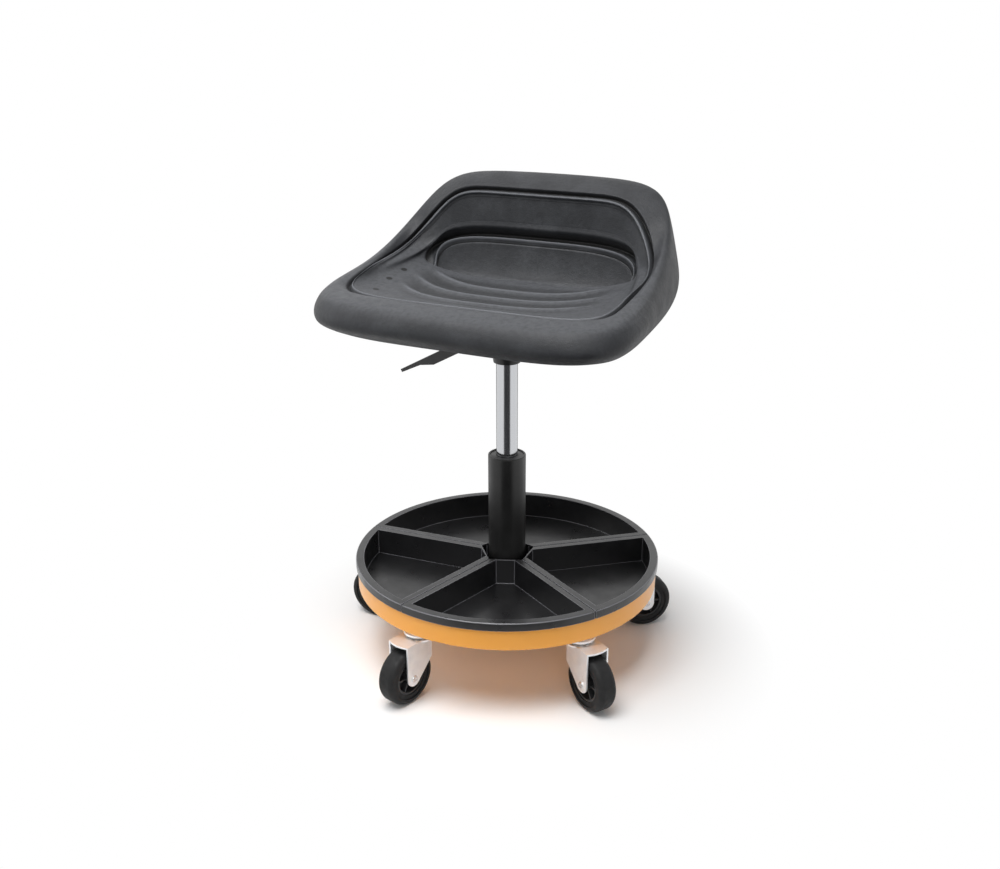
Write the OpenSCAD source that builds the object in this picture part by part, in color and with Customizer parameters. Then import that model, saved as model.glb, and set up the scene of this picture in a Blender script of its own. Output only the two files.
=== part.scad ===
// Wheeled workshop stool: moulded seat on a gas spring, round tray base on
// five swivel casters. Millimetres, Z up, floor at z = 0, swivel axis on Z,
// the sitter faces -Y.

/* [Casters] */
// Diameter of the wheels
wheel_d = 75; // [65:1:90]
// Width of the tyres
tyre_w = 26; // [20:1:32]
// Depth of rubber over the wheel core
tyre_t = 14; // [9:0.5:16]
// Distance of the caster nuts from the pan's band
nut_to_band = 20.2; // [14:0.2:32]
// Distance of the axle behind the swivel axis
trail = 27; // [18:1:34]
// Thickness of the fork plate
fork_t = 2.4; // [1.5:0.1:3.5]
// Half width of a fork leg round the axle
leg_end_r = 10.5; // [9:0.5:15]
// Reach of the fork leg from the axle towards the swivel axis
leg_reach = 33; // [26:1:40]
// Diameter of the axles
axle_d = 6; // [5:0.5:8]
// Diameter of the swivel stems where the forks turn
stem_d = 12; // [9:0.5:14]
// Diameter of the threaded ends of the stems
thread_d = 8; // [6:0.5:9]
// Diameter of the balls in the swivel bearings
ball_d = 5; // [4:0.5:6]
// Height of the neck between a swivel bearing and the pan
neck_h = 8.4; // [5:0.2:12]

/* [Base] */
// Turn of the base against the seat
base_turn = 5; // [-36:1:36]
// Outer radius of the tray rims
rim_r = 204.5; // [196:0.5:225]
// Height of the tray rims over the underside of the pan
base_h = 39; // [34:1:60]
// Height of the pan's outer band
band_h = 28; // [20:0.5:32]
// Thickness of the pan
pan_t = 1.5; // [1:0.1:3]
// Width of the arms that join the casters to the hub
arm_w = 13; // [11:0.5:13]
// Height of the arms
arm_h = 11.5; // [8:0.5:14]

/* [Trays] */
// Thickness of the tray walls and floor
tray_t = 2; // [1.5:0.1:3]
// Width of the rims along the joints between trays
lip_w = 8.5; // [8.5:0.5:14]
// Width of the rim round the outside
front_lip_w = 11; // [9:0.5:18]
// Height of the skirt that hangs over the band
skirt_h = 11; // [7:0.5:15]
// Thickness of the skirt
skirt_t = 1.8; // [1.2:0.1:3]
// Gap between neighbouring trays
tray_gap = 1.2; // [0.8:0.1:3]
// Distance of the inner tray ends from the swivel axis
tray_in = 30.5; // [29.5:0.5:40]

/* [Gas spring] */
// Outer diameter of the column tube
column_d = 50; // [46:1:50]
// Wall of the column tube
column_t = 2.5; // [1.5:0.1:4]
// Height of the column tube over the underside of the pan
column_h = 179; // [170:1:190]
// Outer diameter of the gas cylinder
cylinder_d = 28; // [25:1:30]
// Diameter of the piston rod
rod_d = 10; // [8:1:12]
// Travel of the seat
stroke = 125; // [80:5:125]
// Length of the bush that guides the cylinder
bush_len = 62; // [55:1:65]

/* [Seat] */
// Height of the seat underside over the top of the column tube, seat raised
seat_rise = 177; // [175:1:195]
// Half width of the seat
seat_half_w = 207; // [190:1:230]
// Half length of the seat
seat_half_l = 164; // [150:1:180]
// Height of the front roll over the seat underside
front_roll_h = 49; // [42:1:60]
// Height that the backrest gains over the front roll
back_rise = 114; // [80:1:130]
// Height of the seat's hollow over the underside, in front of the dished plate
hollow_h = 43; // [36:0.5:50]
// Thickness of the plywood board
board_t = 12; // [9:1:15]
// Thickness of the seat plate
plate_t = 3; // [2:0.5:5]
// Length of the release lever from its pivot
lever_len = 155; // [130:1:180]
// Slope of the release lever below the level
lever_slope = 28.8; // [24:0.2:32]

/* [Hidden] */
$fn = 64;
turn_fit = 0.06;      // radial play of shafts and slides
side_gap = 0.3;       // play between faces that pass each other

count = 5;            // casters, and trays
step = 360 / count;
first_caster = base_turn + step / 2;  // under the joints between trays

// casters, from the floor up
axle_z = wheel_d / 2;
fork_gap = tyre_w + 2;
stem_head_h = 3.5;
stem_head_z = wheel_d + 4;
stem_head_r = stem_d / 2 + 3.5;
crown_z = stem_head_z + stem_head_h + side_gap;
crown_top = crown_z + fork_t;
crown_r = 21;
crown_arc_r = 36;      // curve of the crown's edge over the wheel
ball_ring_r = 14.5;
ball_sink = 1;         // depth of the ball grooves
ball_z = crown_top + ball_d / 2 - ball_sink + side_gap;
race_t = 3;
race_z = ball_z + 0.7;
neck_r = 12;
pan_z = race_z + race_t + neck_h;
nut_h = 6.5;
nut_flats = 13;
thread_over = 2;       // thread that stands out of the nuts
axle_head_r = axle_d / 2 + 1.5;
axle_head_h = 1.8;

// base
floor_z = pan_z + pan_t;
rim_z = pan_z + base_h;
skirt_gap = 0.5;       // play between skirt and band
band_r = rim_r - skirt_t - skirt_gap;
stem_circle_r = band_r - pan_t - nut_flats / 2 - nut_to_band;
axle_r = stem_circle_r + trail;
band_fillet = 3;
arm_top = floor_z + arm_h;
hub_wall = 2.6;
hub_r = column_d / 2 + hub_wall;
hub_drop = 17;         // hub below the pan
hub_z = pan_z - hub_drop;
hub_rise = 24;         // hub above the pan's floor
hub_top = floor_z + hub_rise;
hub_flare = 6;         // widening of the hub under its flange
flange_r = 52;
flange_t = 4;
arm_wall = 1.6;
arm_over = 13;         // arm past the swivel axes

// trays
tray_floor_z = floor_z + 0.3;
lip_t = 2.4;
basin_r = rim_r - front_lip_w + tray_t;

// gas spring
column_top = pan_z + column_h;
column_in_r = column_d / 2 - column_t;
end_z = hub_z + 2;
end_t = 4;
race_lower_z = end_z + end_t;
thrust_t = 2.2;
thrust_ball_d = 4;
thrust_ring_r = 12;
thrust_ball_z = race_lower_z + thrust_t + thrust_ball_d / 2 - 0.5;
race_upper_z = thrust_ball_z + thrust_ball_d / 2 - 0.5 + side_gap / 2;
buffer_z = race_upper_z + thrust_t;
buffer_h = 5;
cyl_r = cylinder_d / 2;
cyl_wall = 1.5;
cyl_bottom = buffer_z + buffer_h + 2 + stroke;
gland_h = 14;
piston_z = cyl_bottom + cyl_wall + gland_h + 2;
piston_h = 12;
bush_in_r = cyl_r + turn_fit;

// seat, raised
pad_z = column_top + seat_rise;
plate_z = pad_z - plate_t;
housing_t = 2.5;
housing_h = 28;
housing_z = plate_z - housing_h;
housing_x = 76;
housing_y = 56;
cyl_top = plate_z - 16;
down_gap = 1.5;        // gap over the column with the seat right down
socket_z = column_top + stroke + down_gap;
socket_r = cyl_r + 3.5;
valve_gap = 1.5;       // valve body over the piston with the seat right down
valve_z = piston_z + piston_h + stroke + valve_gap;
pin_r = 2.5;
pin_top = cyl_top + 4;
pivot_x = -22;
pivot_r = 3;
boss_wall = 3.4;       // lever round its pivot
pivot_z = plate_z - pivot_r - boss_wall - 1.1;
lever_t = 6;
nose_r = 4;
plate_x = 150;
plate_y = 190;
board_x = 250;
board_y = 210;
board_y0 = -12;
screw_x = 60;
screw_y = 80;
screw_d = 6;
screw_head_d = 11;
screw_head_h = 3;
tnut_h = 9;
tnut_barrel_d = 9;
tnut_flange_d = 18;
tnut_flange_t = 1.4;

module at_caster(n) rotate(first_caster + (n - 1) * step) children();
module at_tray(n) rotate(base_turn + (n - 1) * step) children();
module each_caster() for (n = [1 : count]) at_caster(n) translate([stem_circle_r, 0, 0]) children();

// ---------- casters ----------

// touching point of the line from p to the circle round c, on side s
function tangent(p, c, r, s) =
    let (v = p - c, a = atan2(v.y, v.x) + s * acos(r / norm(v)))
    c + r * [cos(a), sin(a)];

module leg_outline() {
    c = [trail, axle_z];
    knee = [trail - leg_reach, axle_z + 19];
    foot = tangent(knee, c, leg_end_r, 1);
    difference() {
        union() {
            polygon([[knee.x, crown_top], [trail + leg_end_r, crown_top],
                [trail + leg_end_r, axle_z], c, foot, knee]);
            translate(c) circle(r = leg_end_r);
        }
        translate(c) circle(d = axle_d);
    }
}

module fork() {
    outer = fork_gap / 2 + fork_t;
    difference() {
        union() {
            translate([0, 0, crown_z]) linear_extrude(fork_t) {
                circle(r = crown_r);
                intersection() {
                    translate([trail - leg_reach, -outer]) square([leg_reach + crown_arc_r, 2 * outer]);
                    translate([trail + leg_end_r - sqrt(pow(crown_arc_r, 2) - pow(outer - fork_t / 2, 2)), 0])
                        circle(r = crown_arc_r);
                }
            }
            for (s = [0, 1]) mirror([0, s, 0])
                translate([0, outer, 0]) rotate([90, 0, 0])
                    linear_extrude(fork_t) leg_outline();
        }
        translate([0, 0, crown_z - 1]) cylinder(h = fork_t + 2, r = stem_d / 2 + turn_fit);
        // ball groove
        translate([0, 0, ball_z]) rotate_extrude()
            translate([ball_ring_r, 0]) circle(d = ball_d + 2 * side_gap);
    }
}

module fork_at(n) color("silver") at_caster(n) translate([stem_circle_r, 0, 0]) fork();

module axle_at(n) color("dimgray") at_caster(n)
    translate([axle_r, 0, axle_z]) rotate([90, 0, 0]) {
        half = fork_gap / 2 + fork_t;
        edge = 0.6;
        dimple_r = 1.3;
        translate([0, 0, -half]) cylinder(h = 2 * half, d = axle_d);
        for (s = [0, 1]) mirror([0, 0, s]) translate([0, 0, half])
            rotate_extrude() polygon([[0, 0], [axle_head_r, 0], [axle_head_r, axle_head_h - edge],
                [axle_head_r - edge, axle_head_h], [dimple_r, axle_head_h],
                [dimple_r - edge, axle_head_h - edge], [0, axle_head_h - edge]]);
    }

core_r = wheel_d / 2 - tyre_t;
side_step = 1.5;       // sidewall set in from the tread's shoulder
core_w = tyre_w - 2 * side_step - 2;
hub_w = fork_gap - 2 * side_gap;
module wheel_core_at(n) color("dimgray") at_caster(n)
    translate([axle_r, 0, axle_z]) rotate([90, 0, 0]) {
        bore_r = axle_d / 2 + turn_fit;
        boss_r = axle_d / 2 + 4.5;
        rim_t = 4;
        rim_in = core_r - rim_t;
        web = 3;
        rib_t = 2;
        rib_w = core_w - 3;
        root = 0.5;
        rotate_extrude() polygon([
            [bore_r, -hub_w / 2], [boss_r, -hub_w / 2], [boss_r, -web / 2],
            [rim_in, -web / 2], [rim_in + rim_t / 3, -core_w / 2], [core_r, -core_w / 2],
            [core_r, core_w / 2], [rim_in + rim_t / 3, core_w / 2], [rim_in, web / 2],
            [boss_r, web / 2], [boss_r, hub_w / 2], [bore_r, hub_w / 2]]);
        for (a = [0 : 60 : 300]) rotate(a)
            translate([boss_r - root, -rib_t / 2, -rib_w / 2])
                cube([rim_in - boss_r + 2 * root, rib_t, rib_w]);
    }

module tyre_at(n) color("black") at_caster(n)
    translate([axle_r, 0, axle_z]) rotate([90, 0, 0])
        rotate_extrude() {
            h = tyre_w / 2;
            round_r = 7;               // shoulder of the tread
            tread_r = wheel_d / 2;
            wall_h = h - side_step;
            // sidewall
            translate([core_r, -wall_h]) square([tyre_t - round_r, 2 * wall_h]);
            // tread with rounded shoulders, stepped out from the sidewall
            intersection() {
                union() {
                    translate([core_r, round_r - h]) square([tyre_t, 2 * (h - round_r)]);
                    for (s = [-1, 1]) translate([tread_r - round_r, s * (h - round_r)])
                        circle(r = round_r);
                }
                translate([tread_r - round_r - 1, -h]) square([round_r + 1, 2 * h]);
            }
        }

module caster_stems() color("dimgray") each_caster()
    rotate_extrude() polygon([
        [0, stem_head_z], [stem_head_r - 1.5, stem_head_z], [stem_head_r, stem_head_z + 1.5],
        [stem_head_r, stem_head_z + stem_head_h], [stem_d / 2, stem_head_z + stem_head_h],
        [stem_d / 2, pan_z], [thread_d / 2, pan_z],
        [thread_d / 2, arm_top + nut_h + thread_over], [0, arm_top + nut_h + thread_over]]);

module caster_races() color("gainsboro") each_caster()
    difference() {
        rotate_extrude() polygon([
            [stem_d / 2, race_z], [ball_ring_r + 4.5, race_z],
            [ball_ring_r + 4.5, race_z + race_t], [neck_r, race_z + race_t],
            [neck_r, pan_z - 2], [neck_r + 3, pan_z - 2], [neck_r + 3, pan_z], [stem_d / 2, pan_z]]);
        translate([0, 0, ball_z]) rotate_extrude()
            translate([ball_ring_r, 0]) circle(d = ball_d + 0.1);
    }

module caster_balls() color("silver") each_caster()
    for (a = [0 : 30 : 330]) rotate(a)
        translate([ball_ring_r, 0, ball_z]) sphere(d = ball_d, $fn = 24);

module caster_nuts() color("silver") each_caster()
    translate([0, 0, arm_top]) difference() {
        cylinder(h = nut_h, d = nut_flats / cos(30), $fn = 6);
        translate([0, 0, -1]) cylinder(h = nut_h + 2, d = thread_d);
    }

// ---------- base ----------

module base_pan() color("darkorange") difference() {
    rotate_extrude() {
        in_r = band_r - pan_t;
        difference() {
            union() {
                translate([hub_r, pan_z]) square([band_r - band_fillet - hub_r, pan_t]);
                translate([in_r, pan_z + band_fillet]) square([pan_t, band_h - band_fillet]);
                translate([band_r - band_fillet, pan_z + band_fillet]) circle(r = band_fillet);
            }
            translate([band_r - band_fillet, pan_z + band_fillet]) circle(r = band_fillet - pan_t);
            translate([hub_r - 1, floor_z]) square([in_r - hub_r + 1, band_h]);
        }
    }
    each_caster() translate([0, 0, pan_z - 1]) cylinder(h = pan_t + 2, d = thread_d);
}

module hub_socket() color("dimgray") rotate_extrude() polygon([
    [column_d / 2, hub_z], [hub_r, hub_z], [hub_r + hub_flare, pan_z - flange_t],
    [flange_r, pan_z - flange_t], [flange_r, pan_z], [hub_r, pan_z],
    [hub_r, hub_top], [column_d / 2, hub_top]]);

module spider_arms() color("dimgray") difference() {
    reach = stem_circle_r + arm_over;
    into = 1.5;            // root behind the hub's face, cut to its curve below
    union() for (n = [1 : count]) at_caster(n) difference() {
        translate([hub_r - into, -arm_w / 2, floor_z]) cube([reach - hub_r + into, arm_w, arm_h]);
        translate([hub_r - 2 * into, -arm_w / 2 + arm_wall, floor_z - 1])
            cube([reach - hub_r + 3 * into, arm_w - 2 * arm_wall, arm_h - arm_wall + 1]);
    }
    translate([0, 0, floor_z - 1]) cylinder(h = arm_h + 2, r = hub_r);
    each_caster() translate([0, 0, floor_z]) cylinder(h = arm_h + 1, d = thread_d);
}

module column_tube() color("dimgray") rotate_extrude() {
    bead = column_t / 2;
    translate([column_in_r, hub_z]) square([column_t, column_top - bead - hub_z]);
    translate([column_in_r + bead, column_top - bead]) circle(r = bead);
}

module column_bush() color("black") rotate_extrude() polygon([
    [bush_in_r, column_top - bush_len], [column_in_r, column_top - bush_len],
    [column_in_r, column_top - 1.5], [bush_in_r + 1.5, column_top - 0.5],
    [bush_in_r, column_top - 1.5]]);

module column_end() color("dimgray") rotate_extrude()
    translate([rod_d / 2 + turn_fit, end_z]) square([column_in_r - rod_d / 2 - turn_fit, end_t]);

module thrust_groove(z) translate([0, 0, z]) rotate_extrude()
    translate([thrust_ring_r, 0]) circle(d = thrust_ball_d + 0.1);

module thrust_race_lower() color("silver") difference() {
    rotate_extrude() translate([rod_d / 2 + 0.5, race_lower_z]) square([11, thrust_t]);
    thrust_groove(thrust_ball_z);
}

module thrust_balls() color("gainsboro") for (a = [0 : 36 : 324]) rotate(a)
    translate([thrust_ring_r, 0, thrust_ball_z]) sphere(d = thrust_ball_d, $fn = 24);

// ---------- spindle: turns with the seat, does not rise ----------

module thrust_race_upper() color("silver") difference() {
    rotate_extrude() translate([rod_d / 2, race_upper_z]) square([11.5, thrust_t]);
    translate([0, 0, side_gap / 2]) thrust_groove(thrust_ball_z);
}

module bump_buffer() color("black") rotate_extrude()
    translate([rod_d / 2, buffer_z]) square([6.5, buffer_h]);

module piston_rod() color("silver") {
    translate([0, 0, end_z - 7]) cylinder(h = piston_z + piston_h - end_z + 7, d = rod_d);
}

module rod_clip() color("dimgray") rotate_extrude()
    translate([rod_d / 2, end_z - side_gap - 2]) square([4, 2]);

module piston() color("gray") rotate_extrude() polygon([
    [rod_d / 2, piston_z], [cyl_r - cyl_wall - turn_fit, piston_z],
    [cyl_r - cyl_wall - turn_fit, piston_z + 4], [cyl_r - cyl_wall - 2, piston_z + 4],
    [cyl_r - cyl_wall - 2, piston_z + 8], [cyl_r - cyl_wall - turn_fit, piston_z + 8],
    [cyl_r - cyl_wall - turn_fit, piston_z + piston_h], [rod_d / 2, piston_z + piston_h]]);

module piston_seal() color("black") rotate_extrude()
    translate([cyl_r - cyl_wall - 2, piston_z + 4]) square([2 - turn_fit, 4]);

// ---------- seat ----------

module gas_cylinder() color("silver") rotate_extrude() {
    r_in = cyl_r - cyl_wall;
    polygon([[rod_d / 2 + turn_fit, cyl_bottom], [cyl_r - 1, cyl_bottom],
        [cyl_r, cyl_bottom + 1], [cyl_r, cyl_top], [r_in, cyl_top],
        [r_in, cyl_bottom + cyl_wall], [rod_d / 2 + turn_fit, cyl_bottom + cyl_wall]]);
}

module cylinder_gland() color("dimgray") rotate_extrude()
    translate([rod_d / 2 + turn_fit, cyl_bottom + cyl_wall])
        square([cyl_r - cyl_wall - rod_d / 2 - turn_fit, gland_h]);

module valve_body() color("dimgray") rotate_extrude()
    translate([pin_r + turn_fit, valve_z]) square([cyl_r - cyl_wall - pin_r - turn_fit, cyl_top - valve_z]);

module valve_pin() color("silver") translate([0, 0, valve_z + 8])
    cylinder(h = pin_top - valve_z - 8, r = pin_r);

module taper_socket() color("dimgray") rotate_extrude() polygon([
    [cyl_r, socket_z], [socket_r, socket_z], [socket_r + 3, cyl_top - 1], [cyl_r, cyl_top - 1]]);

module lever_housing() color("dimgray") difference() {
    translate([-housing_x / 2, -housing_y / 2, housing_z]) cube([housing_x, housing_y, housing_h]);
    translate([-housing_x / 2 + housing_t, -housing_y / 2 + housing_t, housing_z + housing_t])
        cube([housing_x - 2 * housing_t, housing_y - 2 * housing_t, housing_h]);
    // socket passes through
    intersection() {
        translate([0, 0, housing_z - 1]) cylinder(h = housing_t + 2, r = socket_r + 3);
        taper_socket_solid();
    }
    // lever slot
    translate([-housing_x / 2 - 1, -lever_t / 2 - 2, housing_z + 2])
        cube([housing_t + 2, lever_t + 4, housing_h - 4]);
    translate([pivot_x, 0, pivot_z]) rotate([90, 0, 0])
        cylinder(h = housing_y + 2, r = pivot_r, center = true);
}

module taper_socket_solid() rotate_extrude() polygon([
    [0, socket_z], [socket_r, socket_z], [socket_r + 3, cyl_top - 1], [0, cyl_top - 1]]);

module lever_pivot_pin() color("silver") translate([pivot_x, 0, pivot_z]) rotate([90, 0, 0]) {
    cylinder(h = housing_y + 3, r = pivot_r, center = true);
}

// in the pivot's own frame: the blade runs down to -x, and the nose on +x
// presses the valve pin
module release_lever() color("black") translate([pivot_x, 0, pivot_z]) difference() {
    top = pivot_r + 1.1;           // blade's upper edge over the pivot
    root = pivot_r + boss_wall;
    root_w = 11;
    blade_w = 13.5;
    blade_from = 58;
    tip_w = 4.4;
    tip_root_w = 6.2;
    tip_len = 32;
    bevel = 20;
    nose = [-pivot_x, pin_top + side_gap + nose_r - pivot_z];
    neck = 2.6;                    // half width of the nose's arm
    union() {
        plate() rotate(lever_slope) polygon([[0, top], [-lever_len, top],
            [-lever_len, top - tip_w], [tip_len - lever_len, top - tip_root_w],
            [tip_len + bevel - lever_len, top - blade_w], [-blade_from, top - blade_w],
            [-root, top - root_w], [0, -pivot_r]]);
        plate() circle(r = root);
        plate() translate(nose) circle(r = nose_r);
        plate() polygon([[0, neck], [nose.x, nose.y + neck], [nose.x, nose.y - neck], [0, -neck]]);
    }
    plate(2) circle(r = pivot_r + turn_fit);
}

module plate(over = 0) translate([0, lever_t / 2 + over / 2, 0]) rotate([90, 0, 0])
    linear_extrude(lever_t + over) children();

module at_screws() for (x = [-1, 1], y = [-1, 1]) translate([x * screw_x, y * screw_y, 0]) children();

module seat_plate() color("dimgray") difference() {
    translate([-plate_x / 2, -plate_y / 2, plate_z]) cube([plate_x, plate_y, plate_t]);
    at_screws() translate([0, 0, plate_z - 1]) cylinder(h = plate_t + 2, d = screw_d);
}

module seat_screws() color("silver") at_screws() {
    translate([0, 0, plate_z - screw_head_h]) cylinder(h = screw_head_h, d = screw_head_d);
    translate([0, 0, plate_z - screw_head_h / 2])
        cylinder(h = plate_t + board_t - tnut_flange_t / 2 + screw_head_h / 2, d = screw_d);
}

module seat_tnuts() color("silver") at_screws() translate([0, 0, pad_z + board_t - tnut_h])
    difference() {
        union() {
            cylinder(h = tnut_h - tnut_flange_t, d = tnut_barrel_d);
            translate([0, 0, tnut_h - tnut_flange_t]) cylinder(h = tnut_flange_t, d = tnut_flange_d);
        }
        translate([0, 0, -1]) cylinder(h = tnut_h + 2, d = screw_d);
    }

module seat_board() color("burlywood") difference() {
    translate([-board_x / 2, board_y0 - board_y / 2, pad_z]) cube([board_x, board_y, board_t]);
    at_screws() {
        translate([0, 0, pad_z - 1]) cylinder(h = board_t + 2, d = tnut_barrel_d);
        translate([0, 0, pad_z + board_t - tnut_flange_t])
            cylinder(h = tnut_flange_t + 1, d = tnut_flange_d);
    }
}

// Squared oval: half width w at the middle and half length l round y0,
// narrowing to the back by taper and, at its back corners, by pinch. Its
// corners sharpen as the powers front and back grow.
function ring(w, l, y0, taper, front, back, pinch = 0) = [for (i = [0 : ring_n - 1])
    let (a = 360 * i / ring_n, c = cos(a), n = sin(a) < 0 ? front : back,
        e = pow(pow(abs(c), n) + pow(abs(sin(a)), n), -1 / n), s = e * sin(a))
    [w * e * c * (1 - taper * s - pinch * pow(max(0, s), 3)), y0 + l * s]];
ring_n = 64;

// height of the roll's crest over the seat underside, rising to the backrest
function crest(p) =
    let (d = max(0, p.y + seat_half_l - crest_in) / (2 * (seat_half_l - crest_in)), m = min(d, 1))
    front_roll_h + back_rise * pow(d, 2.5) + shoulder_h * sin(180 * m)
        + crown_h * pow(m, 3) * (1 - pow(p.x / (1.22 * seat_half_w), 2));
crest_in = 23;         // crest of the roll inside its outer face
shoulder_h = 2.7;      // rise of the side rolls over the line from front to back
crown_h = 11.2;        // rise of the backrest's middle over its corners

// a ring lifted to a share of the crest height over the points of ref, less a drop
function lifted(pts, share, drop, ref = undef) = [for (i = [0 : ring_n - 1])
    [pts[i].x, pts[i].y, pad_z + share * crest(ref == undef ? pts[i] : ref[i]) - drop]];

// a ring that climbs from h at its front by gain to its back, with its flanks
// off that line by flank
function climbing(pts, h, gain, power, flank) =
    let (low = min([for (p = pts) p.y]), high = max([for (p = pts) p.y]))
    [for (p = pts) let (d = (p.y - low) / (high - low))
        [p.x, p.y, pad_z + h + gain * pow(d, power) + flank * sin(180 * d)]];

function mix(a, b, t, sag = 0) = [for (i = [0 : ring_n - 1]) a[i] * (1 - t) + b[i] * t - [0, 0, sag]];

seam_in = 26.5;        // seam inside the seat's sides
seam_w = 5;            // width of the channel at the seam
seam_climb = [5.5, 20];
dish_in = 73.5;        // ends of the dished plate inside the seat's sides
dish_y = 63;           // middle of the dished plate
dish_l = 18;           // half length of the plate in plan
dish_rise = 42;        // height that the plate gains to its back
dish_lip = 7;          // width of the lip round the plate
cove_w = 7;            // width of the cove round the lip

// the panel's edge along the seam, set in by the given distance
function seam(inset) = ring(seat_half_w - seam_in - inset, seat_half_l - 58 - inset, -11, 0, 6.3, 9, 0.22);
function seam_line(inset, drop) = climbing(seam(inset), hollow_h - drop, back_rise - 3, seam_climb[0], seam_climb[1]);
function dish(k) = climbing(ring((seat_half_w - dish_in) * k, dish_l * k, dish_y, -0.108, 3, 4.4),
    hollow_h - 0.6, dish_rise * k, 2.9 - 1.2 * (1 - k), -6.4 * k);

function pad_rings() =
    let (w = seat_half_w, l = seat_half_l,
        top = ring(w - 12.5, l - crest_in, -0.5, 0.126, 4.1, 6.7),
        crest_line = lifted(top, 1, 0),
        groove = seam_line(0, 0),
        panel = seam_line(seam_w, -1),
        lip_l = dish_l + 2.5,
        cove = climbing(ring(w - dish_in + 2 * cove_w, lip_l + 4.6, dish_y + 1.7, 0.094, 6, 4.2),
            hollow_h + 0.4, dish_rise + 20, 0.45, -11.8),
        lip = climbing(ring(w - dish_in + dish_lip, lip_l, dish_y - 1.5, -0.045, 3, 4.1),
            hollow_h, dish_rise + 5, 2.06, -2.2))
    [
        lifted(ring(w - 32, l - 36, -20, 0.02, 4.6, 4.6), 0, 0),
        lifted(ring(w - 18.5, l - 22.5, -19.5, 0.075, 4.6, 4.6), 0, -6),
        lifted(ring(w - 2, l - 1.4, -14, 0.038, 4.7, 5.4), 0.348, 0, top),
        lifted(ring(w - 0.8, l + 6.4, -2.6, 0.094, 4.1, 4.1), 0.64, 0, top),
        lifted(ring(w - 5.4, l - 2.7, -3.3, 0.088, 4.1, 4.1), 0.86, 0, top),
        lifted(ring(w - 9, l - 11.7, -5.7, 0.08, 4.5, 4.3), 1, 4.5, top),
        crest_line,
        mix(crest_line, groove, 0.5, -3),
        mix(crest_line, groove, 0.85, -1),
        groove,
        panel,
        mix(panel, cove, 0.15, 2),
        mix(panel, cove, 0.45, 4),
        mix(panel, cove, 0.78, 3),
        cove,
        lip,
        dish(1),
        dish(0.6),
        dish(0.25)
    ];

module seat_pad() color("dimgray") difference() {
    rings = pad_rings();
    m = len(rings);
    polyhedron(
        points = concat([for (r = rings) each r],
            [[0, dish_y, dish(0.25)[0].z]]),
        faces = concat(
            [[for (i = [0 : ring_n - 1]) i]],
            [for (k = [0 : m - 2], i = [0 : ring_n - 1])
                let (j = (i + 1) % ring_n, a = k * ring_n, b = a + ring_n)
                each [[a + i, b + i, b + j], [a + i, b + j, a + j]]],
            [for (i = [0 : ring_n - 1])
                let (j = (i + 1) % ring_n, b = (m - 1) * ring_n)
                [b + j, b + i, m * ring_n]]));
    // pocket for the board
    translate([-board_x / 2, board_y0 - board_y / 2, pad_z - 1]) cube([board_x, board_y, board_t + 1]);
}

// ---------- trays ----------

// wedge between two joints, its sides set in by g and its inner end at x_in
module wedge(r, g, x_in) intersection() {
    circle(r = r, $fn = 180);
    a = step / 2;
    far = 1.5 * r;
    polygon([[x_in, -(x_in * tan(a) - g / cos(a))], [far, -(far * tan(a) - g / cos(a))],
        [far, far * tan(a) - g / cos(a)], [x_in, x_in * tan(a) - g / cos(a)]]);
}

module tray_at(n) color("black") at_tray(n) difference() {
    edge = 1.6;
    intersection() {
        rotate_extrude($fn = 180) polygon([
            [0, tray_floor_z], [basin_r, tray_floor_z], [basin_r, rim_z - lip_t],
            [rim_r - skirt_t, rim_z - lip_t], [rim_r - skirt_t, rim_z - skirt_h],
            [rim_r, rim_z - skirt_h], [rim_r, rim_z - edge],
            [rim_r - edge * 0.3, rim_z - edge * 0.3], [rim_r - edge, rim_z], [0, rim_z]]);
        translate([0, 0, tray_floor_z - 1]) linear_extrude(base_h + 2)
            wedge(rim_r + 1, tray_gap / 2, tray_in);
    }
    // basin
    translate([0, 0, tray_floor_z + tray_t]) linear_extrude(base_h)
        wedge(basin_r - tray_t, tray_gap / 2 + lip_w, tray_in + tray_t);
    // room for the arms and nuts beneath the side rims
    translate([0, 0, tray_floor_z - 1]) linear_extrude(rim_z - lip_t - tray_floor_z + 1)
        difference() {
            circle(r = basin_r + 0.5);
            wedge(2 * rim_r, tray_gap / 2 + lip_w - tray_t, -1);
        }
}

module fork_1() fork_at(1);
module axle_1() axle_at(1);
module wheel_core_1() wheel_core_at(1);
module tyre_1() tyre_at(1);
module fork_2() fork_at(2);
module axle_2() axle_at(2);
module wheel_core_2() wheel_core_at(2);
module tyre_2() tyre_at(2);
module fork_3() fork_at(3);
module axle_3() axle_at(3);
module wheel_core_3() wheel_core_at(3);
module tyre_3() tyre_at(3);
module fork_4() fork_at(4);
module axle_4() axle_at(4);
module wheel_core_4() wheel_core_at(4);
module tyre_4() tyre_at(4);
module fork_5() fork_at(5);
module axle_5() axle_at(5);
module wheel_core_5() wheel_core_at(5);
module tyre_5() tyre_at(5);
module tray_1() tray_at(1);
module tray_2() tray_at(2);
module tray_3() tray_at(3);
module tray_4() tray_at(4);
module tray_5() tray_at(5);

base_pan();
hub_socket();
spider_arms();
column_tube();
column_bush();
column_end();
thrust_race_lower();
thrust_balls();
caster_stems();
caster_races();
caster_balls();
caster_nuts();
piston_rod();
thrust_race_upper();
rod_clip();
piston();
piston_seal();
bump_buffer();
gas_cylinder();
cylinder_gland();
valve_body();
taper_socket();
lever_housing();
seat_plate();
seat_screws();
seat_board();
seat_tnuts();
seat_pad();
lever_pivot_pin();
release_lever();
valve_pin();
fork_1();
axle_1();
wheel_core_1();
tyre_1();
fork_2();
axle_2();
wheel_core_2();
tyre_2();
fork_3();
axle_3();
wheel_core_3();
tyre_3();
fork_4();
axle_4();
wheel_core_4();
tyre_4();
fork_5();
axle_5();
wheel_core_5();
tyre_5();
tray_1();
tray_2();
tray_3();
tray_4();
tray_5();
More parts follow.
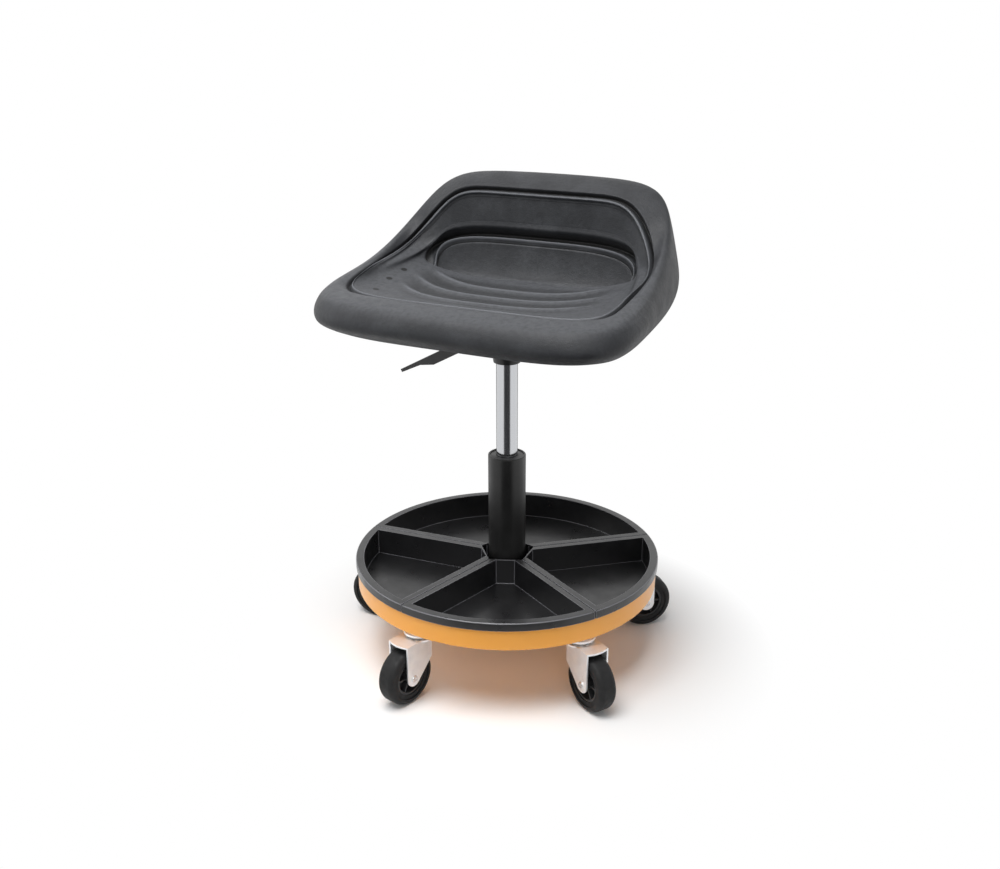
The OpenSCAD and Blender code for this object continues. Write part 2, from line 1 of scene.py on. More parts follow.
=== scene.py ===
"""Wheeled workshop stool: surface finish, moulded cushion and studio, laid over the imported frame."""

import math

import bpy
import numpy as np
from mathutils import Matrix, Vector


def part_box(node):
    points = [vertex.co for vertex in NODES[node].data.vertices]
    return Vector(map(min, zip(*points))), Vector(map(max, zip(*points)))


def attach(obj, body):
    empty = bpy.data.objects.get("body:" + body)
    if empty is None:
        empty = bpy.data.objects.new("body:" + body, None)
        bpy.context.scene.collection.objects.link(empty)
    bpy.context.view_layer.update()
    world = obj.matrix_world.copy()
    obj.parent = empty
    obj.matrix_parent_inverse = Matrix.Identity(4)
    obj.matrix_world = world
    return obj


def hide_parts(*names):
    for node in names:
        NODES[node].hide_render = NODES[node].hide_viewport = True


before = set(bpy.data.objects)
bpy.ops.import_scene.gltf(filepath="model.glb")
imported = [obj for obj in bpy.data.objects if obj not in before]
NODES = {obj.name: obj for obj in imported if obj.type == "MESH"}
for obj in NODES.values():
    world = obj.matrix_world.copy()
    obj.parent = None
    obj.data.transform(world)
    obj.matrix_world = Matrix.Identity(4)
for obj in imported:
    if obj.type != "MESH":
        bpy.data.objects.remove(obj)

bl_info = {
    "name": "Workshop Stool",
    "version": (1, 0, 0),
    "blender": (4, 5, 0),
    "location": "3D View > Sidebar > Stool",
    "description": "Cushion, finishes and studio for a wheeled workshop stool",
    "category": "Object",
}

PAD_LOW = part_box("seat_pad")[0]
BOARD_LOW, BOARD_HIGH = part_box("seat_board")


# ---------------------------------------------------------------- settings


class CushionSettings(bpy.types.PropertyGroup):
    """Sizes and colours of the moulded cushion"""

    half_width: bpy.props.FloatProperty(
        name="Half width", description="Half width of the seat at its middle", default=0.207, unit="LENGTH"
    )
    half_length: bpy.props.FloatProperty(
        name="Half length", description="Half length of the seat", default=0.164, unit="LENGTH"
    )
    front_roll: bpy.props.FloatProperty(
        name="Front roll",
        description="Height of the front roll over the underside",
        default=0.049,
        unit="LENGTH",
    )
    back_rise: bpy.props.FloatProperty(
        name="Back rise",
        description="Height the backrest gains over the front roll",
        default=0.114,
        unit="LENGTH",
    )
    hollow: bpy.props.FloatProperty(
        name="Hollow",
        description="Height of the seat's hollow over the underside",
        default=0.043,
        unit="LENGTH",
    )
    seam_depth: bpy.props.FloatProperty(
        name="Seam depth",
        description="Depth of the channel between roll and panel",
        default=0.0075,
        unit="LENGTH",
    )
    seam_lip: bpy.props.FloatProperty(
        name="Seam lip", description="Height of the lip along the channel", default=0.0022, unit="LENGTH"
    )
    rib_height: bpy.props.FloatProperty(
        name="Rib height", description="Height of the ribs across the panel", default=0.0036, unit="LENGTH"
    )
    rib_first: bpy.props.FloatProperty(
        name="First rib", description="Place of the front rib between seam and cove", default=0.28
    )
    rib_step: bpy.props.FloatProperty(
        name="Rib step", description="Share of the way from seam to cove between ribs", default=0.24
    )
    # colour of the painted light on the skin's level parts low on the seat, of the painted highlights on its
    # lips and ribs, and of its pale clouds
    pale_and_lit: bpy.props.FloatVectorProperty(
        name="Lit and pale colour",
        description="Colour of the skin's painted light and highlights, and of its pale clouds",
        default=(0.068, 0.071, 0.078),
        subtype="COLOR",
    )
    colour: bpy.props.FloatVectorProperty(
        name="Colour", description="Colour of the skin", default=(0.016, 0.0172, 0.0202), subtype="COLOR"
    )


class PaintSettings(bpy.types.PropertyGroup):
    """Colours of the hard parts"""

    enamel: bpy.props.FloatVectorProperty(
        name="Pan enamel", description="Powder coat on the pan", default=(0.95, 0.40, 0.045), subtype="COLOR"
    )
    black: bpy.props.FloatVectorProperty(
        name="Black paint",
        description="Satin paint on the column and brackets",
        default=(0.009, 0.009, 0.009),
        subtype="COLOR",
    )
    tray: bpy.props.FloatVectorProperty(
        name="Tray plastic",
        description="Moulded plastic of the trays",
        default=(0.011, 0.011, 0.012),
        subtype="COLOR",
    )
    tyre: bpy.props.FloatVectorProperty(
        name="Tyre", description="Rubber of the tyres", default=(0.008, 0.008, 0.0084), subtype="COLOR"
    )


class StudioSettings(bpy.types.PropertyGroup):
    """Camera and light"""

    lens: bpy.props.FloatProperty(name="Lens", description="Focal length in millimetres", default=41.4)
    distance: bpy.props.FloatProperty(
        name="Distance", description="Camera to the swivel axis", default=1.512, unit="LENGTH"
    )
    azimuth: bpy.props.FloatProperty(
        name="Azimuth",
        description="Turn of the camera round the stool",
        default=math.radians(27.0),
        subtype="ANGLE",
    )
    elevation: bpy.props.FloatProperty(
        name="Elevation", description="Camera's height angle", default=math.radians(20.03), subtype="ANGLE"
    )
    aim_height: bpy.props.FloatProperty(
        name="Aim height", description="Height the camera looks at", default=0.305, unit="LENGTH"
    )
    shift: bpy.props.FloatProperty(name="Shift", description="Sideways shift of the frame", default=-0.007)
    daylight: bpy.props.FloatProperty(
        name="Daylight", description="Strength of the light from the horizon", default=0.35
    )
    zenith: bpy.props.FloatProperty(
        name="Zenith", description="Strength of the light from overhead", default=0.25
    )
    white_from: bpy.props.FloatProperty(
        name="White from",
        description="Radius where the floor begins to turn plain white",
        default=0.22,
        unit="LENGTH",
    )
    white_to: bpy.props.FloatProperty(
        name="White to",
        description="Radius from which the floor is plain white",
        default=0.37,
        unit="LENGTH",
    )


GROUPS = {"stool_cushion": CushionSettings, "stool_paint": PaintSettings, "stool_studio": StudioSettings}


# ---------------------------------------------------------------- helpers

TINY = 1e-9  # keeps a division from zero


def deselect():
    for o in bpy.context.selected_objects:
        o.select_set(False)


def named(name):
    """The object just added, under its own name, with its place applied to its mesh."""
    obj = bpy.context.object
    obj.name = obj.data.name = name
    bpy.ops.object.transform_apply(location=True, rotation=True, scale=True)
    return obj


def five(name):
    """Names of a piece's five copies, one for each caster or tray."""
    return [f"{name}_{n}" for n in range(1, 6)]


def dress(material, *names):
    """Gives nodes this material and no other."""
    for n in names:
        materials = NODES[n].data.materials
        materials.clear()
        materials.append(material)


def lighter(colour, k):
    return tuple(min(1.0, c * k) for c in colour)


class Finish:
    """A Principled material and the nodes that give it grain, wear, and painted light and shade."""

    def __init__(self, name, colour, rough, **sockets):
        self.mat = bpy.data.materials.new(name)
        self.mat.use_nodes = True
        self.tree = self.mat.node_tree
        self.shader = self.tree.nodes["Principled BSDF"]
        self.shader.inputs["Base Color"].default_value = (*colour, 1)
        self.shader.inputs["Roughness"].default_value = rough
        for key, value in sockets.items():
            self.shader.inputs[key.replace("_", " ")].default_value = value
        self.place = self.tree.nodes.new("ShaderNodeTexCoord").outputs["Object"]
        self.bumped = None

    def node(self, kind, **props):
        n = self.tree.nodes.new("ShaderNode" + kind)
        for key, value in props.items():
            setattr(n, key, value)
        return n

    def link(self, a, b):
        self.tree.links.new(a, b)

    def stretched(self, x, y, z):
        """Object coordinates drawn out along the axes."""
        m = self.node("Mapping")
        m.inputs["Scale"].default_value = (x, y, z)
        self.link(self.place, m.inputs["Vector"])
        return m.outputs["Vector"]

    def noise(self, scale, detail=3.0, where=None):
        n = self.node("TexNoise")
        n.inputs["Scale"].default_value = scale
        n.inputs["Detail"].default_value = detail
        self.link(where or self.place, n.inputs["Vector"])
        return n.outputs["Fac"]

    def cells(self, scale):
        """Distance to the edges of small cells, for a moulded grain."""
        n = self.node("TexVoronoi", feature="DISTANCE_TO_EDGE")
        n.inputs["Scale"].default_value = scale
        self.link(self.place, n.inputs["Vector"])
        return n.outputs["Distance"]

    def distance(self, place=(0, 0, 0)):
        n = self.node("VectorMath", operation="DISTANCE")
        n.inputs[1].default_value = place
        self.link(self.place, n.inputs[0])
        return n.outputs["Value"]

    def near(self, place, inner, outer):
        """One within inner of a place, fading to nothing at outer."""
        return self.span(self.distance(place), outer, inner)

    def span(self, value, low, high, out_low=0.0, out_high=1.0):
        """Runs from out_low to out_high as value runs from low to high."""
        n = self.node("MapRange")
        for key, v in (("From Min", low), ("From Max", high), ("To Min", out_low), ("To Max", out_high)):
            n.inputs[key].default_value = v
        self.link(value, n.inputs["Value"])
        return n.outputs["Result"]

    def times(self, a, b):
        n = self.node("Math", operation="MULTIPLY")
        self.link(a, n.inputs[0])
        self.link(b, n.inputs[1])
        return n.outputs["Value"]

    def tint(self, factor, other):
        """Mixes another colour into the base where factor is high."""
        n = self.node("Mix", data_type="RGBA")
        base = self.shader.inputs["Base Color"]
        if base.is_linked:
            self.link(base.links[0].from_socket, n.inputs["A"])
        else:
            n.inputs["A"].default_value = base.default_value
        n.inputs["B"].default_value = (*other, 1)
        self.link(factor, n.inputs["Factor"])
        self.link(n.outputs["Result"], base)

    def shade(self, value, low, high):
        """Roughness runs from low to high with a noise, which keeps mostly between 0.3 and 0.7."""
        self.link(self.span(value, 0.3, 0.7, low, high), self.shader.inputs["Roughness"])

    def relief(self, value, depth, strength):
        """Adds a bump of that depth in metres."""
        n = self.node("Bump")
        n.inputs["Distance"].default_value = depth
        n.inputs["Strength"].default_value = strength
        if self.bumped is not None:
            self.link(self.bumped, n.inputs["Normal"])
        self.link(value, n.inputs["Height"])
        self.bumped = n.outputs["Normal"]
        self.link(self.bumped, self.shader.inputs["Normal"])


# ---------------------------------------------------------------- cushion

AROUND = 320  # points round each ring
BALL = 0.1  # radius of the sphere that the cushion is drawn out from
BOARD_GAP = 0.0003  # air between the board and its pocket

# crest of the roll
CREST_IN = 0.023  # inside the seat's outer face
CREST_POWER = 2.5  # how late it climbs on its way to the back
CREST_ARCH = 0.0027  # how far it arches over that climb
CROWN = 0.0112  # height of the backrest's middle over its sides
CROWN_HALF = 1.22  # half widths of the seat at which the crown has run out

# plate at the back of the panel, and what lies round it
PLATE_IN = 0.0735  # inside the seat's side
PLATE_HALF_LENGTH = 0.018
PLATE_MIDDLE = 0.063  # behind the swivel axis
PLATE_RISE = 0.042  # from its front to its back
PLATE_SAG = 0.0064
RIM_HEIGHT = 0.002
SLOT_DEPTH = 0.0045  # of the slot inside the rim
GAP_DEPTH = 0.007  # of the gap behind the rim
GAP_BACK = 0.013  # how far that gap reaches back

# seam
CHANNEL_WIDTH = 0.0025
LIP_AWAY = 0.0060  # from the channel's middle to the lip's
LIP_WIDTH = 0.0018

# ribs: shares of the way from seam to cove, and distances from the middle line, over which they run out
RIBS_FRONT = (0.14, 0.26)
RIBS_BACK = (0.99, 0.88)
RIBS_SIDE = (0.155, 0.105)
RIBS_END = 0.05  # no rib lies farther back than this
RIB_BEND = 0.12  # how far a rib bends back, as a share of the way, at RIB_HALF from the middle line
RIB_HALF = 0.107

# vent holes along the sitter's right side, painted on the skin as dark spots of shade
VENTS = ((-0.155, 0.004), (-0.155, -0.030), (-0.148, -0.074))
VENT_RADIUS = 0.0036
VENT_RIM = 0.0046  # radius at which a vent's edge has faded out


class Moulding:
    """The cushion's rings, from the underside over the roll to the dished plate."""

    def __init__(self, s, theta):
        self.s, self.theta = s, theta
        w, l = s.half_width, s.half_length
        # half sizes, middle, taper, squareness of the front and of the back
        self.top = self.ring(w - 0.0125, l - CREST_IN, -0.0005, 0.126, 4.1, 6.7)
        seam = self.ring(w - 0.0265, l - 0.058, -0.011, 0, 6.3, 9, pinch=0.22)
        cove = self.ring(w - 0.0595, 0.0251, 0.0647, 0.094, 6, 4.2)
        rim = self.ring(w - 0.0665, 0.0205, 0.0615, -0.045, 3, 4.1)
        # height, gain, power, flank
        self.seam = self.climbing(seam, s.hollow, s.back_rise - 0.003, 5.5, 0.020)
        self.cove = self.climbing(cove, s.hollow + 0.0004, 0.062, 0.45, -0.0118)
        self.rim = self.climbing(rim, s.hollow, 0.047, 2.06, -0.0022)

    def ring(self, w, l, y0, taper, front, back, pinch=0.0):
        """Squared oval round (0, y0), with half sizes w and l.

        It narrows to the back by taper and, at its back corners, by pinch. The powers front and back
        say how square those two ends are.
        """
        c, q = np.cos(self.theta), np.sin(self.theta)
        n = np.where(q < 0, front, back)
        e = (abs(c) ** n + abs(q) ** n) ** (-1 / n)
        x = w * e * c * (1 - taper * e * q - pinch * np.maximum(e * q, 0) ** 3)
        return np.stack([x, y0 + l * e * q], -1)

    def climbing(self, p, height, gain, power, flank):
        """A ring that climbs by gain from its front to its back, its flanks off that line."""
        d = (p[:, 1] - p[:, 1].min()) / np.ptp(p[:, 1])
        climb = gain * d**power + flank * np.sin(math.pi * d)
        return np.column_stack([p, PAD_LOW.z + height + climb])

    def lifted(self, p, share, drop, over=None):
        """A ring at a share of the crest's height, taken where the ring over lies, less a drop."""
        over = p if over is None else over
        s = self.s
        d = np.maximum(0, over[:, 1] + s.half_length - CREST_IN) / (2 * (s.half_length - CREST_IN))
        m = np.minimum(d, 1)
        arch = CREST_ARCH * np.sin(math.pi * m)
        crown = CROWN * m**3 * (1 - (over[:, 0] / (CROWN_HALF * s.half_width)) ** 2)
        crest = s.front_roll + s.back_rise * d**CREST_POWER + arch + crown
        return np.column_stack([p, PAD_LOW.z + share * crest - drop])

    def plate(self, k):
        """A ring on the plate, which curves up to its back and is straight from side to side."""
        w, l = self.s.half_width - PLATE_IN, PLATE_HALF_LENGTH
        edge, r = (self.ring(w * j, l * j, PLATE_MIDDLE, -0.108, 3, 4.4) for j in (1, k))
        d = np.clip((r[:, 1] - edge[:, 1].min()) / np.ptp(edge[:, 1]), 0, 1)
        curve = PLATE_RISE * d**2.9 - PLATE_SAG * np.sin(math.pi * d)
        return np.column_stack([r, PAD_LOW.z + self.s.hollow - 0.0006 + curve])

    def pocket(self, z, share=1.0):
        """The square pocket that holds the board."""
        half, mid = (BOARD_HIGH - BOARD_LOW) / 2, (BOARD_HIGH + BOARD_LOW) / 2
        c, q = np.cos(self.theta), np.sin(self.theta)
        to_side = (half.x + BOARD_GAP) / np.maximum(abs(c), TINY)
        to_end = (half.y + BOARD_GAP) / np.maximum(abs(q), TINY)
        reach = share * np.minimum(to_side, to_end)
        return np.column_stack([mid.x + reach * c, mid.y + reach * q, np.full_like(c, z)])


def toward(a, b, distance):
    """Points of a moved that far towards those of b."""
    way = b - a
    return a + way * (distance / np.maximum(np.linalg.norm(way, axis=1), TINY))[:, None]


def between(a, b, share, sag=0.0):
    """Points that share of the way from a to b, and sag lower."""
    return a * (1 - share) + b * share - [0, 0, sag]


def outward(ring):
    """Level directions that point out of a ring."""
    along = np.roll(ring, -1, 0) - np.roll(ring, 1, 0)
    out = np.column_stack([along[:, 1], -along[:, 0], np.zeros(len(ring))])
    return out / np.linalg.norm(out, axis=1)[:, None]


def cushion_sections(s, theta):
    """Pocket, underside, roll, panel and dish, each a list of (ring, number of mesh rows to the next)."""
    m = Moulding(s, theta)
    w, l = s.half_width, s.half_length
    roof = BOARD_HIGH.z + BOARD_GAP
    crest = m.lifted(m.top, 1, 0)
    slope = between(crest, m.seam, 0.5, -0.003)
    climb = (m.rim[:, 2] - m.rim[:, 2].min()) / np.ptp(m.rim[:, 2])
    # the gap opens where the rim climbs, and rim and slot are fainter along the plate's front
    deep = np.clip(climb * 6, 0, 1)[:, None]
    stands = 0.3 + 0.7 * deep
    behind = between(m.cove, m.rim, 0.45) + outward(m.rim) * GAP_BACK * deep - deep * [0, 0, GAP_DEPTH]
    slot = between(m.rim, m.plate(1), 0.62) - stands * [0, 0, SLOT_DEPTH]
    pocket = [
        (m.pocket(roof, 0.02), 4),
        (m.pocket(roof), 1),
        (m.pocket(PAD_LOW.z), 4),
    ]
    underside = [
        (m.lifted(m.ring(w - 0.036, l - 0.040, -0.020, 0.02, 4.6, 4.6), 0, 0), 2),
        (m.lifted(m.ring(w - 0.031, l - 0.035, -0.020, 0.02, 4.6, 4.6), 0, -0.0004), 5),
    ]
    roll = [
        (m.lifted(m.ring(w - 0.0185, l - 0.0225, -0.0195, 0.075, 4.6, 4.6), 0, -0.006), 8),
        (m.lifted(m.ring(w - 0.002, l - 0.0014, -0.014, 0.038, 4.7, 5.4), 0.348, 0, m.top), 8),
        (m.lifted(m.ring(w - 0.0008, l + 0.0064, -0.0026, 0.094, 4.1, 4.1), 0.64, 0, m.top), 6),
        (m.lifted(m.ring(w - 0.0054, l - 0.0027, -0.0033, 0.088, 4.1, 4.1), 0.86, 0, m.top), 6),
        (m.lifted(m.ring(w - 0.009, l - 0.0117, -0.0057, 0.08, 4.5, 4.3), 1, 0.0045, m.top), 5),
        (crest, 6),
        (slope, 5),
        (toward(m.seam, slope, 0.009), 12),
    ]
    panel = [
        (m.seam, 14),
        (toward(m.seam, m.cove, 0.011), 5),
        (between(m.seam, m.cove, 0.2, 0.0025), 16),
        (between(m.seam, m.cove, 0.45, 0.004), 20),
        (between(m.seam, m.cove, 0.78, 0.003), 10),
        (toward(m.cove, m.seam, 0.004) - [0, 0, 0.0004], 4),
    ]
    dish = [
        (m.cove - outward(m.cove) * 0.0005 * deep, 8),
        (behind, 8),
        (toward(m.rim, behind, 0.0022) - deep * [0, 0, 0.0004], 4),
        (m.rim + stands * [0, 0, RIM_HEIGHT], 4),
        (between(m.rim, m.plate(1), 0.36), 4),
        (slot, 4),
        (m.plate(1), 4),
        (m.plate(0.9), 8),
        (m.plate(0.5), 6),
        (m.plate(0.02), 1),
    ]
    return pocket, underside, roll, panel, dish


def smooth_between(points, knots, at):
    """Points on the curve through the control points, one curve for each place round the ring."""
    out = np.empty((len(at), *points.shape[1:]))
    for i, t in enumerate(at):
        k = min(np.searchsorted(knots, t, side="right") - 1, len(knots) - 2)
        h = knots[k + 1] - knots[k]
        u = (t - knots[k]) / h

        def slope(j):
            a, b = max(j - 1, 0), min(j + 1, len(knots) - 1)
            if a == j or b == j:
                return (points[b] - points[a]) / (knots[b] - knots[a])
            left = (points[j] - points[a]) / (knots[j] - knots[a])
            right = (points[b] - points[j]) / (knots[b] - knots[j])
            w = (knots[j] - knots[a]) / (knots[b] - knots[a])
            return left * (1 - w) + right * w

        out[i] = (
            (2 * u**3 - 3 * u**2 + 1) * points[k]
            + (u**3 - 2 * u**2 + u) * h * slope(k)
            + (3 * u**2 - 2 * u**3) * points[k + 1]
            + (u**3 - u**2) * h * slope(k + 1)
        )
    return out


def smoothstep(a, b, x):
    t = np.clip((x - a) / (b - a), 0, 1)
    return t * t * (3 - 2 * t)


def hump(x, width):
    """One at nothing, falling off on both sides over that width."""
    return np.exp(-((x / width) ** 2))


def rounded(surface, low, high, passes=20):
    """Rounds the sections between two rows off, and keeps those rows."""
    for _ in range(passes):
        mid = surface[low : high + 1]
        surface[low + 1 : high] = (mid[:-2] + 2 * mid[1:-1] + mid[2:]) / 4


def normals(surface):
    """Outward normals of a closed stack of rings."""
    round_ = np.roll(surface, -1, 1) - np.roll(surface, 1, 1)
    up = np.gradient(surface, axis=0)
    n = np.cross(round_, up)
    return n / np.maximum(np.linalg.norm(n, axis=2), 1e-12)[:, :, None]


def carve(surface, s, seam, cove):
    """Cuts the channel and its lip along the seam, and raises the ribs across the panel.

    Returns the surface, and how far each point stands out, up to about 1, or lies deep, down to -1, which
    places the skin's painted highlights and painted shade.
    """
    steps = np.linalg.norm(np.diff(surface, axis=0), axis=2)
    run = np.concatenate([np.zeros((1, surface.shape[1])), np.cumsum(steps, 0)])
    away = run - run[seam]
    out = normals(surface)
    # the channel is at its full depth where the seam climbs the backrest
    high = smoothstep(0.0, 0.05, surface[seam][:, 2] - surface[seam][:, 2].min() + 0.012)
    channel = hump(away, CHANNEL_WIDTH)
    lip = hump(away - LIP_AWAY, LIP_WIDTH)
    depth = s.seam_depth * (0.45 + 0.55 * high) * channel
    # ribs, bending back to their ends
    share = away / (run[cove] - run[seam])
    x = abs(surface[:, :, 0])
    bent = share - RIB_BEND * (x / RIB_HALF) ** 3
    ribs = 0.5 + 0.5 * np.cos(2 * math.pi * (bent - s.rib_first) / s.rib_step)
    shown = smoothstep(*RIBS_FRONT, bent) * smoothstep(*RIBS_BACK, share) * smoothstep(*RIBS_SIDE, x)
    shown = shown * (surface[:, :, 1] < RIBS_END)
    push = s.seam_lip * lip + s.rib_height * (ribs**3 - 0.25) * shown
    # relief places painted highlights on the lip and ribs and painted shade in the channel
    relief = lip - (0.5 + 0.5 * high) * channel + (1.3 * ribs**5 - 0.5) * shown
    return surface + out * push[:, :, None] - out[seam] * depth[:, :, None], relief


def cushion_surface(s):
    """The cushion's mesh rows, the relief of each point, and the points of its panel."""
    theta = np.linspace(0, 2 * math.pi, AROUND, endpoint=False)
    sections = cushion_sections(s, theta)
    controls = [control for section in sections for control in section]
    rings = np.array([ring for ring, _ in controls])
    counts = [count for _, count in controls]
    row_of = np.cumsum([0, *counts])[:-1]  # mesh row of each control ring
    underside, roll, seam, cove = np.cumsum([len(section) for section in sections])[:-1]

    gaps = np.linalg.norm(np.diff(rings, axis=0), axis=2).mean(1)
    knots = np.concatenate([[0], np.cumsum(gaps)])
    runs = [np.linspace(knots[k], knots[k + 1], counts[k], endpoint=False) for k in range(len(gaps))]
    at = np.concatenate([*runs, [knots[-1]]])
    surface = smooth_between(rings, knots, at)
    # the board's pocket keeps its square corners
    for i in range(row_of[underside]):
        k = np.searchsorted(knots, at[i], side="right") - 1
        surface[i] = between(rings[k], rings[k + 1], (at[i] - knots[k]) / gaps[k])
    rounded(surface, row_of[roll], row_of[seam - 1])
    surface, relief = carve(surface, s, row_of[seam], row_of[cove])

    # painted shade in the gap behind the plate's rim and in the slot inside it, and a painted highlight on
    # the bead on the rim, where the rim climbs
    y = rings[-3][:, 1]
    climbs = smoothstep(0.08, 0.5, (y - y.min()) / np.ptp(y))
    rows = np.arange(len(at))[:, None]
    for ring, reach, stands_out in ((cove + 1, 4, -1.0), (cove + 3.3, 2.2, 0.9), (cove + 4.8, 2.2, -0.8)):
        middle = np.interp(ring, range(len(rings)), row_of)
        relief = relief + stands_out * hump(rows - middle, reach) * climbs
    return surface, relief, surface[row_of[seam] : row_of[cove]].reshape(-1, 3)


def draw_out(obj, surface, relief):
    """Moves the sphere's vertices to the cushion's rows and stores the relief with each.

    The sphere has one circle of vertices for each row, and its poles close the first row and the last.
    """
    rows = len(surface)
    stored = obj.data.attributes.new("relief", "FLOAT", "POINT").data
    for v in obj.data.vertices:
        up = math.asin(max(-1.0, min(1.0, v.co.z / BALL)))
        row = round((up / math.pi + 0.5) * (rows + 1)) - 1
        turn = round(math.atan2(v.co.y, v.co.x) / (2 * math.pi) * AROUND) % AROUND
        if 0 <= row < rows:
            v.co = surface[row, turn]
            stored[v.index].value = relief[row, turn]
        else:
            v.co = surface[0 if row < 0 else -1].mean(0)
    obj.data.update()


def cushion_skin(s, panel):
    """Foam skin with a moulded grain and pale clouds, with painted light on its level parts, painted
    highlights on its lips and ribs, and painted shade where it lies deep.
    """
    skin = Finish("cushion_skin", tuple(s.colour), 0.5, IOR=1.37, Sheen_Weight=0.05)
    facing, place = skin.node("SeparateXYZ"), skin.node("SeparateXYZ")
    skin.link(skin.node("NewGeometry").outputs["Normal"], facing.inputs[0])
    skin.link(skin.place, place.inputs[0])
    # painted light on its level parts, low on the seat
    level = skin.span(facing.outputs["Z"], 0.55, 0.97)
    low = skin.span(place.outputs["Z"], PAD_LOW.z + 0.115, PAD_LOW.z + 0.075)
    skin.tint(skin.times(level, low), s.pale_and_lit)
    # clouds and a finer mottle
    skin.tint(skin.span(skin.noise(30, 5), 0.42, 0.66, 0, 0.28), s.pale_and_lit)
    mottle = skin.noise(190, 4)
    skin.tint(skin.span(mottle, 0.44, 0.72, 0, 0.42), lighter(s.colour, 0.6))
    # painted highlights on the lips, ribs and the rim's bead, painted shade in the channels, the gap and the
    # slot
    relief = skin.node("Attribute", attribute_name="relief").outputs["Fac"]
    skin.tint(skin.span(relief, 0.2, 1, 0, 0.8), lighter(s.pale_and_lit, 2.4))
    skin.tint(skin.span(relief, -0.1, -0.8, 0, 0.95), (0.002, 0.002, 0.002))
    # painted shade: a dark spot at each vent hole
    for x, y in VENTS:
        vent = panel[np.argmin(np.hypot(panel[:, 0] - x, panel[:, 1] - y))]
        skin.tint(skin.near(vent, VENT_RADIUS, VENT_RIM), (0.001, 0.001, 0.001))
    skin.shade(skin.noise(60, 3), 0.42, 0.56)
    skin.relief(mottle, 0.0007, 0.6)
    skin.relief(skin.cells(620), 0.0006, 0.5)
    skin.relief(skin.noise(1500, 2), 0.0002, 0.4)
    return skin.mat


class STOOL_OT_cushion(bpy.types.Operator):
    """Mould the low-backed cushion with its roll, seam, ribs and dished plate"""

    bl_idname = "stool.cushion"
    bl_label = "Cushion"

    def execute(self, context):
        s = context.scene.stool_cushion
        surface, relief, panel = cushion_surface(s)
        deselect()
        bpy.ops.mesh.primitive_uv_sphere_add(segments=AROUND, ring_count=len(surface) + 1, radius=BALL)
        obj = named("seat_cushion")
        draw_out(obj, surface, relief)
        bpy.ops.object.shade_smooth()
        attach(obj, "seat")
        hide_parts("seat_pad")
        obj.data.materials.append(cushion_skin(s, panel))
        return {"FINISHED"}


# ---------------------------------------------------------------- finishes

ENAMEL_THIN = (0.88, 0.42, 0.07)  # powder coat where it lies thinner
CHROME = (0.58, 0.59, 0.61)
ZINC = (0.92, 0.93, 0.94)
ZINC_DULL = (0.76, 0.78, 0.82)
STEEL = (0.66, 0.66, 0.67)
PHOSPHATED = (0.2, 0.2, 0.21)
ALUMINIUM = (0.7, 0.7, 0.71)
PLASTIC = (0.02, 0.02, 0.021)
RUBBER = (0.02, 0.02, 0.02)
PLY = (0.52, 0.36, 0.20)
PLY_GRAIN = (0.36, 0.22, 0.11)
EDGE_HIGHLIGHT = 13  # how many times paler than its walls the painted highlight on a tray's edges is


class STOOL_OT_paint(bpy.types.Operator):
    """Powder coat on the pan and satin paint on the column and brackets"""

    bl_idname = "stool.paint"
    bl_label = "Paint"

    def execute(self, context):
        p = context.scene.stool_paint
        enamel = Finish("orange_enamel", tuple(p.enamel), 0.34, Coat_Weight=0.25, Coat_Roughness=0.12)
        enamel.tint(enamel.span(enamel.noise(9, 3), 0.4, 0.75, 0, 0.25), ENAMEL_THIN)
        enamel.relief(enamel.noise(420, 2), 0.00012, 0.35)
        dress(enamel.mat, "base_pan")

        satin = Finish("satin_black_tube", tuple(p.black), 0.36)
        satin.shade(satin.noise(35, 3), 0.30, 0.42)
        satin.relief(satin.noise(700, 2), 0.00008, 0.3)
        dress(satin.mat, "column_tube", "hub_socket", "spider_arms")
        dress(satin.mat, "taper_socket", "lever_housing", "seat_plate")
        return {"FINISHED"}


class STOOL_OT_metal(bpy.types.Operator):
    """Chrome, zinc plate, steel and aluminium"""

    bl_idname = "stool.metal"
    bl_label = "Metal"

    def execute(self, context):
        chrome = Finish("chromed_steel", CHROME, 0.16, Metallic=1.0)
        chrome.shade(chrome.noise(60, 4, chrome.stretched(6, 6, 0.3)), 0.13, 0.2)
        dress(chrome.mat, "gas_cylinder", "piston_rod")

        zinc = Finish("zinc_plate", ZINC, 0.34, Metallic=0.65)
        zinc.tint(zinc.span(zinc.noise(90, 4), 0.4, 0.75, 0, 0.5), ZINC_DULL)
        zinc.shade(zinc.noise(60, 3), 0.34, 0.46)
        dress(zinc.mat, "caster_stems", "caster_races", "caster_nuts", *five("fork"))
        dress(zinc.mat, "seat_screws", "seat_tnuts")

        bright = Finish("bright_steel", STEEL, 0.25, Metallic=1.0)
        bright.shade(bright.noise(500, 3), 0.16, 0.34)
        dress(bright.mat, "thrust_race_lower", "thrust_race_upper", "thrust_balls", "caster_balls")
        dress(bright.mat, "lever_pivot_pin", "valve_pin", *five("axle"))

        dark = Finish("dark_steel", PHOSPHATED, 0.42, Metallic=1.0)
        dark.shade(dark.noise(300, 3), 0.34, 0.5)
        dress(dark.mat, "column_end", "rod_clip")

        turned = Finish("turned_aluminium", ALUMINIUM, 0.3, Metallic=1.0)
        turned.shade(turned.noise(400, 2, turned.stretched(1, 1, 8)), 0.22, 0.4)
        dress(turned.mat, "piston", "cylinder_gland", "valve_body")
        return {"FINISHED"}


